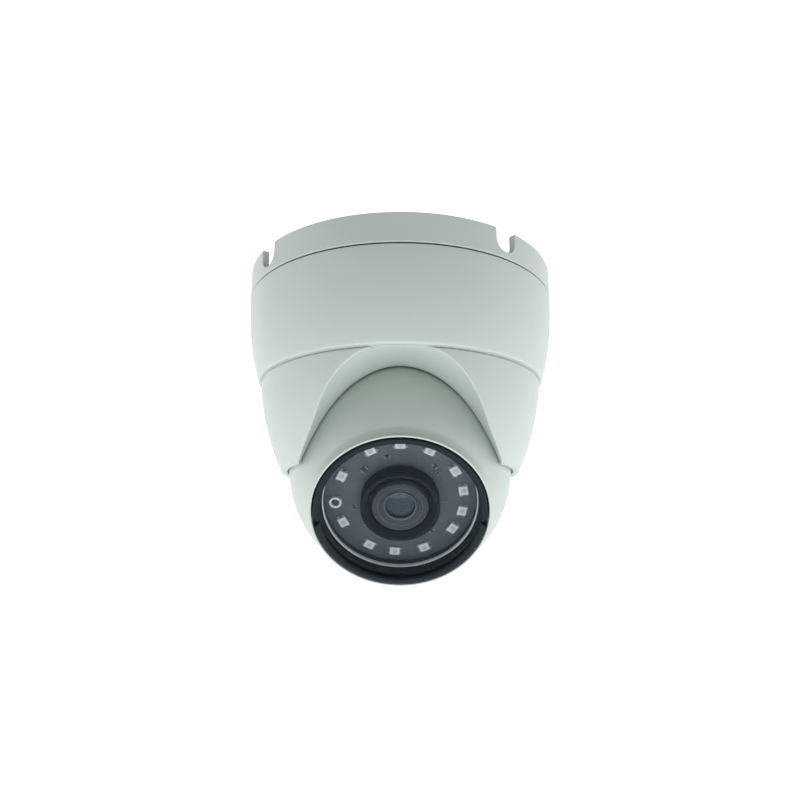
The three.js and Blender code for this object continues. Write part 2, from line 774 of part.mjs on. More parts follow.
function electronics() {
  const pieces = [
    piece('lens_barrel', 'blackMatte', lensBarrel()),
    piece('lens_front_glass', 'lens', lensFrontGlass()),
    piece('lens_holder', 'blackMatte', lensHolder()),
    piece('ir_filter', 'lens', block(9, 9, 2.2, 2.7)),
    piece('image_sensor', 'chip', block(8, 8, 0.3, 1.5)),
    piece('sensor_board', 'board', block(32, 32, -1.4, 0.2)),
    piece('power_board', 'board', disc(16, -11.4, -10, MEDIUM)),
    piece('board_connector', 'chip', block(12, 4, -9.9, -1.5)),
    piece('pigtail_socket', 'polymer', block(11, 6, -16.5, -11.5)),
    piece('module_housing', 'aluminium', moduleHousing()),
    piece('module_retainer', 'steel', moduleRetainer()),
    piece('led_harness', 'rubber', ledHarness()),
  ];
  [-1, 1].forEach((side, i) => {
    const mesh = piece(`standoff_${i + 1}`, 'steel', disc(1.5, 0.3, HOUSING_BACK - SEATED, SMALL));
    mesh.position.set(side * 13.2, 0, 0);
    pieces.push(mesh);
  });
  return pieces;
}

// ---------------------------------------------------------------- assembly

const camera = new THREE.Group();
camera.add(fixedBody());
camera.add(panningDome());

const tiltingBall = new THREE.Group();
tiltingBall.position.set(0, 0, BALL_Z);
tiltingBall.rotation.x = radians(90 + LENS_BELOW_HORIZON);
tiltingBall.add(...ballShells());
camera.add(tiltingBall);

const rollingModule = new THREE.Group();
rollingModule.add(...windowStack(), ...infraredLeds(), lightSensor(), ...electronics());
tiltingBall.add(rollingModule);

export default camera;
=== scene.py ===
"""A ceiling-mounted dome camera: smooth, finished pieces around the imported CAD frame.

Lengths are in millimetres in the code and become metres when a mesh is made.
A point on the ball or its module is given in the ball's own frame: the centre of the ball
is the origin, +Z is the lens axis and +Y is the top of the picture.
"""
import json
import math

import bmesh
import bpy
from mathutils import Matrix, Vector


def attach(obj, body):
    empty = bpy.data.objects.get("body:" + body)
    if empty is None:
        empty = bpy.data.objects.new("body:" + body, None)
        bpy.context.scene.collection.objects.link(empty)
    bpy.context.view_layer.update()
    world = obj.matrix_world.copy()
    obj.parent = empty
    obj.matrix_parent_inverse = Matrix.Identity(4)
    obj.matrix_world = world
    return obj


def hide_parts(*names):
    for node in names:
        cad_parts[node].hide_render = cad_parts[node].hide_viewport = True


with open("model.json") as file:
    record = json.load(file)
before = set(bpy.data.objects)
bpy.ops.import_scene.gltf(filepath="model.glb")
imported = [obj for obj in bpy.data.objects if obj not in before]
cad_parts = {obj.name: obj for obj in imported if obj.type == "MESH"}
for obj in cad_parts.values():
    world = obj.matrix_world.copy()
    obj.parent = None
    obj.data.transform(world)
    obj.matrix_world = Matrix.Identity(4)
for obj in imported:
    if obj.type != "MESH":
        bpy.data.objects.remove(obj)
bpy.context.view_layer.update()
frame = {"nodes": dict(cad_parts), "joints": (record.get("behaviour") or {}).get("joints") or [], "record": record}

MM = 0.001
ROUND = 160  # sides of the large round pieces
FINE = 96  # sides of the rings round the window
SMALL = 32  # sides of screws and holes

# ------------------------------------------------------------------ sizes, as in the CAD unless said

RIM_R, BODY_R, BASE_WALL = 46.8, 46.7, 1.9
BASE_LOW, FLOOR_HIGH, FLOOR_LOW = -8.4, -7.0, -9.4
CABLE_HOLE_R = 9.0
THROUGH = (-12, 1)  # not a CAD size: a cutter between these heights goes right through the base
NOTCH_WIDTH, NOTCH_DEPTH = 6.8, 6.4
NOTCH_AZIMUTHS = (37.5, 127.5, 217.5, 307.5)
CEILING_BOSS_R, CEILING_BOSS_AZIMUTHS, CEILING_HOLE_R = 33.0, (60, 180, 300), 2.3
RING_SCREW_R, RING_SCREW_AZIMUTHS, RING_SCREW_HOLE_R = 41.3, (0, 120, 240), 1.5
LOCK_SCREW_AZIMUTH, LOCK_SCREW_Z = 215, -30.2

RING_TOP, RING_BOTTOM, RING_INNER_R = -8.8, -34.18, 44.4
RING_LIP_R, RING_LIP_TOP = 40.7, -31.9

NECK_R, DECK_TOP, DECK_LOW = 40.3, -31.6, -33.5
SHOULDER_Z, SHOULDER_R = -34.6, 42.2
DOME_RIM_Z, DOME_RIM_R = -60.8, 35.3
SEAT_HOLE_R = 20.6

BALL_R, BALL_INNER_R, SOCKET_R = 32.9, 30.7, 33.4
PARTING_Z, PARTING_GAP = -3.5, 0.4
SLEEVE_R, SLEEVE_WALL, SLEEVE_BACK = 24.05, 1.55, 8.3
LIP_BASE_R, LIP_EDGE_R, LIP_FRONT = 25.6, 24.6, 23.7
BALL_SCREW_R, BALL_SCREW_SEAT, BALL_SCREW_WELL_R = 28.2, -8.6, 2.1
BALL_SCREW_ANGLES = (0, 180)

BEZEL_R, BEZEL_FRONT, BEZEL_INNER_R = 23.7, 23.9, 22.95
WINDOW_OPENING_R = 21.8
GLASS_R, GLASS_FRONT, GLASS_BACK = 22.6, 22.8, 21.0
BOARD_FRONT, BOARD_THICK = 15.9, 1.5
LED_RING_R = 17.8
LED_ANGLES = (0, 27, 58, 80, 102, 123, 157, 185, 210, 245, 296, 333)
LED_SIZE = (3.2, 2.8, 0.8)
LED_CLAMP_R, LED_CLAMP_TOP = 21.35, 18.9
# painted highlight: the clamp's thin front band is light aluminium, partly the metal's own colour and partly a
# painted highlight for the bright line on its rim
ALUMINIUM_AND_HIGHLIGHT_BAND = 1.1  # not in the CAD: the height of the bright band at the front of the clamp
HOOD_R, HOOD_OUTER_R, HOOD_RIM_R = 8.9, 11.0, 10.1
HOOD_FRONT, HOOD_THROAT = 20.9, 18.6
LIGHT_SENSOR_R, LIGHT_SENSOR_ANGLE = 18.1, 268
GRIP_NOTCH_ANGLES = (96, 264)


def joint(name):
    return next(j for j in frame["joints"] if j["name"] == name)


BALL = Vector(joint("tilt")["pos_m"]) / MM
LENS_AXIS = Vector(joint("roll")["axis"]).normalized()


def ball_frame():
    x = Vector((1, 0, 0))
    y = LENS_AXIS.cross(x)
    turn = Matrix((x, y, LENS_AXIS)).transposed().to_4x4()
    return Matrix.Translation(BALL) @ turn


BALL_FRAME = ball_frame()
ROW_FRAME = Matrix.Identity(4)


# ------------------------------------------------------------------ material helpers

def new_material(name):
    material = bpy.data.materials.new(name)
    material.use_nodes = True
    nodes = material.node_tree.nodes
    return material, nodes, material.node_tree.links, nodes["Principled BSDF"]


def object_coordinates(nodes, links, scale=(1, 1, 1)):
    source = nodes.new("ShaderNodeTexCoord")
    mapping = nodes.new("ShaderNodeMapping")
    mapping.inputs["Scale"].default_value = scale
    links.new(source.outputs["Object"], mapping.inputs["Vector"])
    return mapping.outputs["Vector"]


def noise(nodes, links, vector, scale, detail=4.0, roughness=0.5):
    node = nodes.new("ShaderNodeTexNoise")
    node.inputs["Scale"].default_value = scale
    node.inputs["Detail"].default_value = detail
    node.inputs["Roughness"].default_value = roughness
    links.new(vector, node.inputs["Vector"])
    return node.outputs["Fac"]


def spread(nodes, links, value, low, high, start=0.3, end=0.7):
    """Maps a texture's value from start..end to low..high."""
    node = nodes.new("ShaderNodeMapRange")
    node.inputs["From Min"].default_value = start
    node.inputs["From Max"].default_value = end
    node.inputs["To Min"].default_value = low
    node.inputs["To Max"].default_value = high
    links.new(value, node.inputs["Value"])
    return node.outputs["Result"]


def mix_colors(nodes, links, factor, first, second):
    node = nodes.new("ShaderNodeMix")
    node.data_type = "RGBA"
    links.new(factor, node.inputs["Factor"])
    for socket, value in ((node.inputs[6], first), (node.inputs[7], second)):
        if isinstance(value, (tuple, list)):
            socket.default_value = (*value, 1)
        else:
            links.new(value, socket)
    return node.outputs[2]


def bump(nodes, links, height, strength, distance, normal=None):
    node = nodes.new("ShaderNodeBump")
    node.inputs["Strength"].default_value = strength
    node.inputs["Distance"].default_value = distance
    links.new(height, node.inputs["Height"])
    if normal is not None:
        links.new(normal, node.inputs["Normal"])
    return node.outputs["Normal"]


def shade(color, amount):
    return tuple(c * amount for c in color)


def textured(name, color, rough, grain, relief, variation=0.06, metallic=0.0, specular=0.5):
    """A plain finish with real detail: mottled colour, uneven gloss and a fine surface relief.

    grain is the size of the relief in millimetres and relief is its height in micrometres.
    """
    material, nodes, links, surface = new_material(name)
    vector = object_coordinates(nodes, links)
    cloud = noise(nodes, links, vector, 60, 3)
    fine = noise(nodes, links, vector, 1 / (grain * MM), 5, 0.6)
    mottled = mix_colors(
        nodes, links, spread(nodes, links, cloud, 0, 1),
        shade(color, 1 - variation), shade(color, 1 + variation),
    )
    links.new(mottled, surface.inputs["Base Color"])
    links.new(spread(nodes, links, fine, rough - 0.05, rough + 0.05), surface.inputs["Roughness"])
    links.new(bump(nodes, links, fine, 1.0, relief * 1e-6), surface.inputs["Normal"])
    surface.inputs["Metallic"].default_value = metallic
    surface.inputs["Specular IOR Level"].default_value = specular
    return material


# ------------------------------------------------------------------ materials

def shell_paint():
    """Powder coat: a soft orange peel, a finer grain on it, and a faint unevenness of tone."""
    material, nodes, links, surface = new_material("shell_paint")
    vector = object_coordinates(nodes, links)
    cloud = noise(nodes, links, vector, 45, 3)
    peel = noise(nodes, links, vector, 700, 2, 0.4)
    grain = noise(nodes, links, vector, 3200, 4, 0.6)
    tone = spread(nodes, links, cloud, 0, 1)
    color = mix_colors(nodes, links, tone, (0.515, 0.568, 0.522), (0.530, 0.584, 0.540))
    links.new(color, surface.inputs["Base Color"])
    links.new(spread(nodes, links, peel, 0.40, 0.50), surface.inputs["Roughness"])
    soft = bump(nodes, links, peel, 0.9, 12e-6)
    links.new(bump(nodes, links, grain, 0.8, 4e-6, soft), surface.inputs["Normal"])
    surface.inputs["Specular IOR Level"].default_value = 0.45
    return material


def window_glass():
    """Clear coated glass with a trace of dust, which shows as uneven gloss."""
    material, nodes, links, surface = new_material("window_glass")
    vector = object_coordinates(nodes, links)
    dust = noise(nodes, links, vector, 900, 6, 0.7)
    links.new(spread(nodes, links, dust, 0.02, 0.08, 0.45, 0.75), surface.inputs["Roughness"])
    surface.inputs["Base Color"].default_value = (0.05, 0.065, 0.08, 1)
    surface.inputs["Alpha"].default_value = 0.07
    surface.inputs["Specular IOR Level"].default_value = 0.5
    return material


def circuit_board():
    """Solder mask over copper: raised tracks show as faint lighter lines under the mask."""
    material, nodes, links, surface = new_material("circuit_board")
    vector = object_coordinates(nodes, links)
    tracks = nodes.new("ShaderNodeTexVoronoi")
    tracks.feature = "DISTANCE_TO_EDGE"
    tracks.inputs["Scale"].default_value = 260
    links.new(vector, tracks.inputs["Vector"])
    line = spread(nodes, links, tracks.outputs["Distance"], 1, 0, 0.02, 0.06)
    weave = noise(nodes, links, vector, 2500, 3)
    color = mix_colors(nodes, links, line, (0.058, 0.081, 0.089), (0.078, 0.103, 0.112))
    links.new(color, surface.inputs["Base Color"])
    links.new(spread(nodes, links, weave, 0.42, 0.55), surface.inputs["Roughness"])
    links.new(bump(nodes, links, line, 0.4, 30e-6), surface.inputs["Normal"])
    return material


def brushed(name, color, rough):
    """Turned or brushed metal: long fine scratches and a slight change of gloss."""
    material, nodes, links, surface = new_material(name)
    vector = object_coordinates(nodes, links, (1, 1, 22))
    scratches = noise(nodes, links, vector, 900, 6, 0.7)
    blotches = noise(nodes, links, object_coordinates(nodes, links), 120, 3)
    tone = mix_colors(nodes, links, spread(nodes, links, blotches, 0, 1), shade(color, 0.92), color)
    links.new(tone, surface.inputs["Base Color"])
    links.new(spread(nodes, links, scratches, rough - 0.07, rough + 0.1), surface.inputs["Roughness"])
    links.new(bump(nodes, links, scratches, 0.5, 5e-6), surface.inputs["Normal"])
    surface.inputs["Metallic"].default_value = 1.0
    return material


def lens_coating():
    """Dark coated glass, with the deep blue-green of an antireflection layer."""
    material, nodes, links, surface = new_material("lens_glass")
    vector = object_coordinates(nodes, links)
    cloud = noise(nodes, links, vector, 300, 2)
    tone = spread(nodes, links, cloud, 0, 1)
    color = mix_colors(nodes, links, tone, (0.024, 0.033, 0.039), (0.029, 0.039, 0.046))
    links.new(color, surface.inputs["Base Color"])
    links.new(spread(nodes, links, cloud, 0.08, 0.12), surface.inputs["Roughness"])
    surface.inputs["Specular IOR Level"].default_value = 0.5
    surface.inputs["Specular Tint"].default_value = (0.55, 0.8, 1.0, 1)
    return material


def white_sweep():
    """Matt white paper, lit brighter up the backdrop so that it is white behind the object."""
    material = textured("floor", (0.82, 0.83, 0.83), 0.6, 2.0, 8, 0.01)
    nodes, links = material.node_tree.nodes, material.node_tree.links
    surface = nodes["Principled BSDF"]
    surface.inputs["Emission Color"].default_value = (1.0, 1.0, 1.0, 1)
    height = nodes.new("ShaderNodeSeparateXYZ")
    links.new(object_coordinates(nodes, links), height.inputs["Vector"])
    glow = spread(nodes, links, height.outputs["Z"], 0.5, 0.95, -0.42, -0.1)
    links.new(glow, surface.inputs["Emission Strength"])
    return material


MATERIALS = {
    "shell_paint": shell_paint(),
    "window_glass": window_glass(),
    "circuit_board": circuit_board(),
    "lens_glass": lens_coating(),
    "steel": brushed("steel", (0.55, 0.56, 0.57), 0.32),
    # light and nearly non-metallic: partly the metal's own colour, partly a painted highlight for the clamp's
    # bright front rim
    "aluminium": textured("aluminium", (0.74, 0.79, 0.80), 0.40, 0.25, 4, 0.05, metallic=0.1),
    "bezel_black": textured("bezel_black", (0.010, 0.016, 0.020), 0.46, 0.22, 5, 0.1, specular=0.16),
    "black_matte": textured("black_matte", (0.024, 0.034, 0.041), 0.5, 0.16, 9, 0.1, specular=0.35),
    "lens_ring": textured("lens_ring", (0.055, 0.070, 0.080), 0.4, 0.16, 4, 0.08),
    "rubber": textured("rubber", (0.018, 0.019, 0.021), 0.75, 0.3, 14, 0.12),
    "polymer": textured("polymer", (0.52, 0.57, 0.54), 0.5, 0.5, 8, 0.03),
    "led_package": textured("led_package", (0.66, 0.72, 0.72), 0.35, 0.2, 3, 0.03),
    "led_frame": textured("led_frame", (0.24, 0.28, 0.29), 0.4, 0.2, 3, 0.05),
    "led_emitter": textured("led_emitter", (0.48, 0.53, 0.53), 0.22, 0.3, 3, 0.05),
    "chip": textured("chip", (0.030, 0.032, 0.035), 0.45, 0.15, 5, 0.08),
    "foam": textured("foam", (0.009, 0.014, 0.019), 0.8, 0.35, 60, 0.2, specular=0.15),
    "floor": white_sweep(),
}


# ------------------------------------------------------------------ mesh helpers

def polar(radius, azimuth, z):
    """A point at an azimuth in degrees from the front (-Y), turning towards +X."""
    angle = math.radians(azimuth)
    return Vector((radius * math.sin(angle), -radius * math.cos(angle), z))


def on_window(radius, angle, z=0.0):
    """A point on the window seen from in front of it: 0 is the top and 90 is +X."""
    turn = math.radians(angle)
    return Vector((radius * math.sin(turn), radius * math.cos(turn), z))


def bezier(start, control, end, steps):
    points = []
    for i in range(steps + 1):
        t = i / steps
        a, b, c = (1 - t) ** 2, 2 * t * (1 - t), t ** 2
        points.append(tuple(a * s + b * m + c * e for s, m, e in zip(start, control, end)))
    return points


def arc(radius, from_z, to_z, steps):
    start, end = math.asin(from_z / radius), math.asin(to_z / radius)
    angles = (start + (end - start) * i / steps for i in range(steps + 1))
    return [(radius * math.cos(a), radius * math.sin(a)) for a in angles]


def rounded(corners, closed=True, steps=5):
    """A profile of (r, z) or (r, z, fillet) corners, with each fillet drawn as a curve."""
    points = []
    count = len(corners)
    for i, corner in enumerate(corners):
        here = Vector(corner[:2])
        fillet = corner[2] if len(corner) > 2 else 0
        ends = not closed and i in (0, count - 1)
        if fillet == 0 or ends:
            points.append(tuple(here))
            continue
        before = Vector(corners[i - 1][:2]) - here
        after = Vector(corners[(i + 1) % count][:2]) - here
        start = here + before.normalized() * min(fillet, before.length * 0.49)
        end = here + after.normalized() * min(fillet, after.length * 0.49)
        points += bezier(start, here, end, steps)
    if closed:
        points.append(points[0])
    return points


def revolve(profile, sides):
    """An (r, z) profile turned about Z. The profile ends on the axis or closes on itself."""
    closed = Vector(profile[0]) == Vector(profile[-1])
    rows = profile[:-1] if closed else profile
    vertices, index = [], []
    for r, z in rows:
        if r < 1e-6:
            index.append([len(vertices)] * sides)
            vertices.append((0, 0, z))
            continue
        index.append(list(range(len(vertices), len(vertices) + sides)))
        vertices += [tuple(polar(r, 360 * k / sides, z)) for k in range(sides)]
    faces = []
    spans = range(len(rows)) if closed else range(len(rows) - 1)
    for i in spans:
        low, high = index[i], index[(i + 1) % len(rows)]
        for k in range(sides):
            n = (k + 1) % sides
            face = list(dict.fromkeys((low[k], low[n], high[n], high[k])))
            if len(face) > 2:
                faces.append(face)
    return vertices, faces


def grid(rows, close_columns=False, close_rows=False):
    """Faces between rows of points that all have the same count."""
    width = len(rows[0])
    vertices = [tuple(p) for row in rows for p in row]
    faces = []
    for i in range(len(rows) if close_rows else len(rows) - 1):
        low, high = i * width, ((i + 1) % len(rows)) * width
        for k in range(width if close_columns else width - 1):
            n = (k + 1) % width
            faces.append((low + k, low + n, high + n, high + k))
    return vertices, faces


def moved(shape, matrix):
    vertices, faces = shape
    return [tuple(matrix @ Vector(v)) for v in vertices], faces


def joined(*shapes):
    vertices, faces = [], []
    for some_vertices, some_faces in shapes:
        offset = len(vertices)
        vertices += some_vertices
        faces += [tuple(i + offset for i in face) for face in some_faces]
    return vertices, faces


def bevelled_box(size, bevel, centre=(0, 0, 0), segments=3):
    bm = bmesh.new()
    bmesh.ops.create_cube(bm, size=1.0)
    bmesh.ops.scale(bm, vec=size, verts=bm.verts)
    bmesh.ops.bevel(bm, geom=bm.edges[:], offset=bevel, segments=segments, profile=0.5, affect="EDGES")
    bmesh.ops.translate(bm, vec=centre, verts=bm.verts)
    shape = [tuple(v.co) for v in bm.verts], [tuple(v.index for v in f.verts) for f in bm.faces]
    bm.free()
    return shape


def build(name, shape, material, place=ROW_FRAME):
    """A mesh object from a shape in millimetres."""
    vertices, faces = shape
    mesh = bpy.data.meshes.new(name)
    mesh.from_pydata([MM * (place @ Vector(v)) for v in vertices], [], faces)
    bm = bmesh.new()
    bm.from_mesh(mesh)
    bmesh.ops.remove_doubles(bm, verts=bm.verts, dist=1e-7)
    bmesh.ops.recalc_face_normals(bm, faces=bm.faces)
    bm.to_mesh(mesh)
    bm.free()
    mesh.materials.append(MATERIALS[material])
    piece = bpy.data.objects.new(name, mesh)
    bpy.context.scene.collection.objects.link(piece)
    return piece


def cut(piece, shape, place=ROW_FRAME):
    """Takes a closed shape out of a piece."""
    cutter = build("cutter", shape, "shell_paint", place)
    modifier = piece.modifiers.new("cut", "BOOLEAN")
    modifier.operation = "DIFFERENCE"
    modifier.solver = "EXACT"
    modifier.object = cutter
    evaluated = piece.evaluated_get(bpy.context.evaluated_depsgraph_get())
    mesh = bpy.data.meshes.new_from_object(evaluated)
    piece.modifiers.clear()
    piece.data = mesh
    bpy.data.objects.remove(cutter)


def settle(piece, body, replaced, sharp=32):
    """Last touches on a piece: shading, the body that it rides on, and what it stands for."""
    piece.data.shade_smooth()
    piece.data.set_sharp_from_angle(angle=math.radians(sharp))
    normals = piece.modifiers.new("even_normals", "WEIGHTED_NORMAL")
    normals.keep_sharp = True
    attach(piece, body)
    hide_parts(*replaced)
    return piece


def finished(name, shape, slot, body, replaced, place=ROW_FRAME, cuts=()):
    piece = build(name, shape, slot, place)
    for cutter in cuts:
        cut(piece, cutter, place)
    return settle(piece, body, replaced)


# ------------------------------------------------------------------ the fixed base

def notched_height(azimuths):
    """Columns of (azimuth, rim height) round the base, with rounded U notches in the rim."""
    half = NOTCH_WIDTH / 2
    per_mm = math.degrees(1 / (RIM_R - BASE_WALL / 2))
    edge = 0.45
    outline = [
        (-half - edge, 0),
        (-half - edge * 0.4, -edge * 0.1),
        (-half - edge * 0.1, -edge * 0.4),
        (-half, -edge),
        (-half, -1.5),
        (-half, half - NOTCH_DEPTH),
    ]
    for i in range(1, 12):
        angle = math.pi * i / 12
        outline.append((-half * math.cos(angle), half - NOTCH_DEPTH - half * math.sin(angle)))
    outline += [(-x, z) for x, z in reversed(outline[:6])]
    columns = []
    for azimuth in azimuths:
        columns += [(azimuth + x * per_mm, z) for x, z in outline]
        gap_start = azimuth + (half + edge) * per_mm
        gap = 90 - 2 * (half + edge) * per_mm
        columns += [(gap_start + gap * k / 40, 0) for k in range(1, 40)]
    return columns


def base_columns():
    rows = []
    fillet = 0.35
    for azimuth, top in notched_height(NOTCH_AZIMUTHS):
        corners = [
            (CABLE_HOLE_R, FLOOR_LOW, 0.3),
            (43.9, FLOOR_LOW, 0.3),
            (43.9, BASE_LOW + 0.3),
            (BODY_R, BASE_LOW + 0.02, fillet),
            (RIM_R, top, fillet),
            (RIM_R - BASE_WALL, top, fillet),
            (RIM_R - BASE_WALL, FLOOR_HIGH, 0.2),
            (CABLE_HOLE_R, FLOOR_HIGH, 0.3),
        ]
        rows.append([polar(r, azimuth, z) for r, z in rounded(corners)[:-1]])
    return grid(rows, close_columns=True, close_rows=True)


def post(radius, low, high, sides):
    """A solid cylinder on the Z axis."""
    return revolve([(0, low), (radius, low), (radius, high), (0, high)], sides)


def mounting_base():
    boss = rounded([
        (CEILING_HOLE_R, FLOOR_HIGH - 0.5),
        (6.0, FLOOR_HIGH - 0.5),
        (5.6, FLOOR_HIGH, 0.5),
        (5.0, 0, 0.25),
        (CEILING_HOLE_R, 0, 0.3),
    ])
    boss_places = [Matrix.Translation(polar(CEILING_BOSS_R, a, 0)) for a in CEILING_BOSS_AZIMUTHS]
    screw_places = [Matrix.Translation(polar(RING_SCREW_R, a, 0)) for a in RING_SCREW_AZIMUTHS]
    piece = build("mounting_base_skin", base_columns(), "shell_paint")
    for place in boss_places:
        cut(piece, moved(post(CEILING_HOLE_R, *THROUGH, SMALL * 2), place))
    for place in screw_places:
        cut(piece, moved(post(RING_SCREW_HOLE_R, *THROUGH, SMALL), place))
    settle(piece, "base", ["mounting_base"])
    bosses = [moved(revolve(boss, SMALL * 2), place) for place in boss_places]
    posts = build("mounting_bosses", joined(*bosses), "shell_paint")
    settle(posts, "base", ["mounting_base"])


def body_ring():
    foot = (43.3, -33.2)
    inner_foot = (41.9, RING_LIP_TOP)
    outside = bezier((BODY_R, RING_TOP - 0.3), (46.5, -23), foot, 40)
    inside = bezier(inner_foot, (44.2, -23), (RING_INNER_R, -16), 12)
    top = rounded(
        [(RING_INNER_R, RING_TOP, 0.2), (BODY_R, RING_TOP, 0.3), (BODY_R, RING_TOP - 1)],
        closed=False,
    )
    bottom = rounded(
        [
            foot,
            (42.95, RING_BOTTOM, 0.8),
            (RING_LIP_R, RING_BOTTOM, 0.2),
            (RING_LIP_R, RING_LIP_TOP, 0.2),
            inner_foot,
        ],
        closed=False,
    )
    profile = top[:-1] + outside[1:] + bottom[1:-1] + inside
    profile.append(profile[0])
    piece = build("body_ring_skin", revolve(profile, ROUND), "shell_paint")
    outwards = polar(1, LOCK_SCREW_AZIMUTH, 0).to_track_quat("Z", "Y").to_matrix().to_4x4()
    place = Matrix.Translation(Vector((0, 0, LOCK_SCREW_Z))) @ outwards
    cut(piece, post(1.5, 40, 50, SMALL), place)
    settle(piece, "base", ["body_ring"])
    screw = rounded([(0, 41.9), (1.2, 41.9, 0.2), (1.2, 43.7, 0.15), (0, 43.7)], closed=False)
    socket = post(0.62, 42.8, 45, 6)
    screw = revolve(screw, SMALL)
    finished("lock_screw_fine", screw, "steel", "base", ["lock_screw"], place, [socket])


def pan_head_screw(name, place, body, replaced, shank, head, height, length):
    """A screw with a domed head and a cross recess; shank and head are radii."""
    profile = rounded(
        [
            (0, -length),
            (shank * 0.6, -length),
            (shank, -length + 0.6),
            (shank, 0),
            (head, 0, 0.15),
            (head, height, height * 0.55),
            (0, height),
        ],
        closed=False,
    )
    slot = 0.2 * head
    reach = 1.15 * head
    cross = [
        bevelled_box((reach, slot, height), 0.02, (0, 0, height)),
        bevelled_box((slot, reach, height), 0.02, (0, 0, height)),
    ]
    finished(name, revolve(profile, SMALL), "steel", body, replaced, place, cross)


def base_small_parts():
    gasket = rounded([
        (44.7, RING_TOP, 0.1),
        (46.25, RING_TOP, 0.12),
        (46.25, BASE_LOW, 0.12),
        (44.7, BASE_LOW, 0.1),
    ])
    finished("base_gasket_fine", revolve(gasket, ROUND), "rubber", "base", ["base_gasket"])
    washer_low, washer_r = RING_BOTTOM - 0.3, RING_LIP_R + 1.2
    washer = rounded([
        (RING_LIP_R, washer_low, 0.1),
        (washer_r, washer_low, 0.1),
        (washer_r, RING_BOTTOM),
        (RING_LIP_R, RING_BOTTOM),
    ])
    finished("pan_washer_fine", revolve(washer, ROUND), "polymer", "base", ["pan_washer"])
    bore, waist, flange = 3.2, CABLE_HOLE_R - 0.3, 10.6
    grommet = rounded([
        (bore, FLOOR_LOW - 1.3, 0.4),
        (flange, FLOOR_LOW - 1.3, 0.6),
        (flange, FLOOR_LOW - 0.05),
        (waist, FLOOR_LOW - 0.05),
        (waist, FLOOR_HIGH + 0.05),
        (flange, FLOOR_HIGH + 0.05, 0.1),
        (flange, FLOOR_HIGH + 0.8, 0.5),
        (flange - 2.5, FLOOR_HIGH + 1.0, 0.3),
        (bore + 2, FLOOR_HIGH + 0.7, 0.5),
        (bore, FLOOR_HIGH + 1.2, 0.5),
    ])
    finished("cable_grommet_fine", revolve(grommet, FINE), "rubber", "base", ["cable_grommet"])
    for i, azimuth in enumerate(RING_SCREW_AZIMUTHS):
        node = f"ring_screw_{i + 1}"
        turn = Matrix.Rotation(0.5 + i, 4, "Z")
        place = Matrix.Translation(polar(RING_SCREW_R, azimuth, FLOOR_HIGH)) @ turn
        pan_head_screw(
            f"{node}_fine", place, "base", [node], shank=1.2, head=2.4, height=1.6, length=9
        )


# ------------------------------------------------------------------ the panning dome

def face_half_width(z):
    """Half the width of the arch where it meets the dome's face."""
    if z > -50:
        from_centre = (z - DECK_LOW + 21.5) / 21.5
        return 23 * math.sqrt(max(0, 1 - from_centre ** 2))
    drop = -50 - z
    return face_half_width(-50 + 1e-6) + 0.26 * drop + 0.0205 * drop ** 2


def throat_half_width(z):
    """Half its width where it meets the ball."""
    return math.sqrt(27.5 * max(0, DECK_LOW - z))


def tunnel_point(radius, z):
    """Where the right wall of the arch meets a circle round the pan axis."""
    x = 0
    for _ in range(30):
        y = -math.sqrt(max(1e-6, radius ** 2 - x ** 2))
        share = (-22 - y) / 19
        throat = throat_half_width(z)
        x = throat + (face_half_width(z) - throat) * share
    return Vector((x, -math.sqrt(max(1e-6, radius ** 2 - x ** 2)), z))


def soft_corner(before, corner, after, fillet, steps=5):
    start = corner + (before - corner).normalized() * fillet
    end = corner + (after - corner).normalized() * fillet
    return [Vector(p) for p in bezier(start, corner, end, steps)]


def dome_row(z, outer, inner, around=150):
    """One level of the dome: a C that runs round the back and into the arch at the front."""
    face, throat = tunnel_point(outer, z), tunnel_point(inner, z)
    face_fillet, throat_fillet = 0.55, 0.3
    face_azimuth = math.degrees(math.atan2(face.x, -face.y) + face_fillet / outer)
    throat_azimuth = math.degrees(math.atan2(throat.x, -throat.y) + throat_fillet / inner)

    def circle(radius, start):
        return [polar(radius, start + (360 - 2 * start) * i / around, z) for i in range(around + 1)]

    outside, inside = circle(outer, face_azimuth), circle(inner, throat_azimuth)
    face_corner = soft_corner(throat, face, outside[0], face_fillet)
    throat_corner = soft_corner(inside[0], throat, face, throat_fillet)
    wall = [throat_corner[-1].lerp(face_corner[0], i / 8) for i in range(1, 8)]
    right = throat_corner + wall + face_corner[:-1]
    left = [Vector((-p.x, p.y, p.z)) for p in reversed(right)]
    return outside + left + inside[::-1] + right, len(outside), len(left)


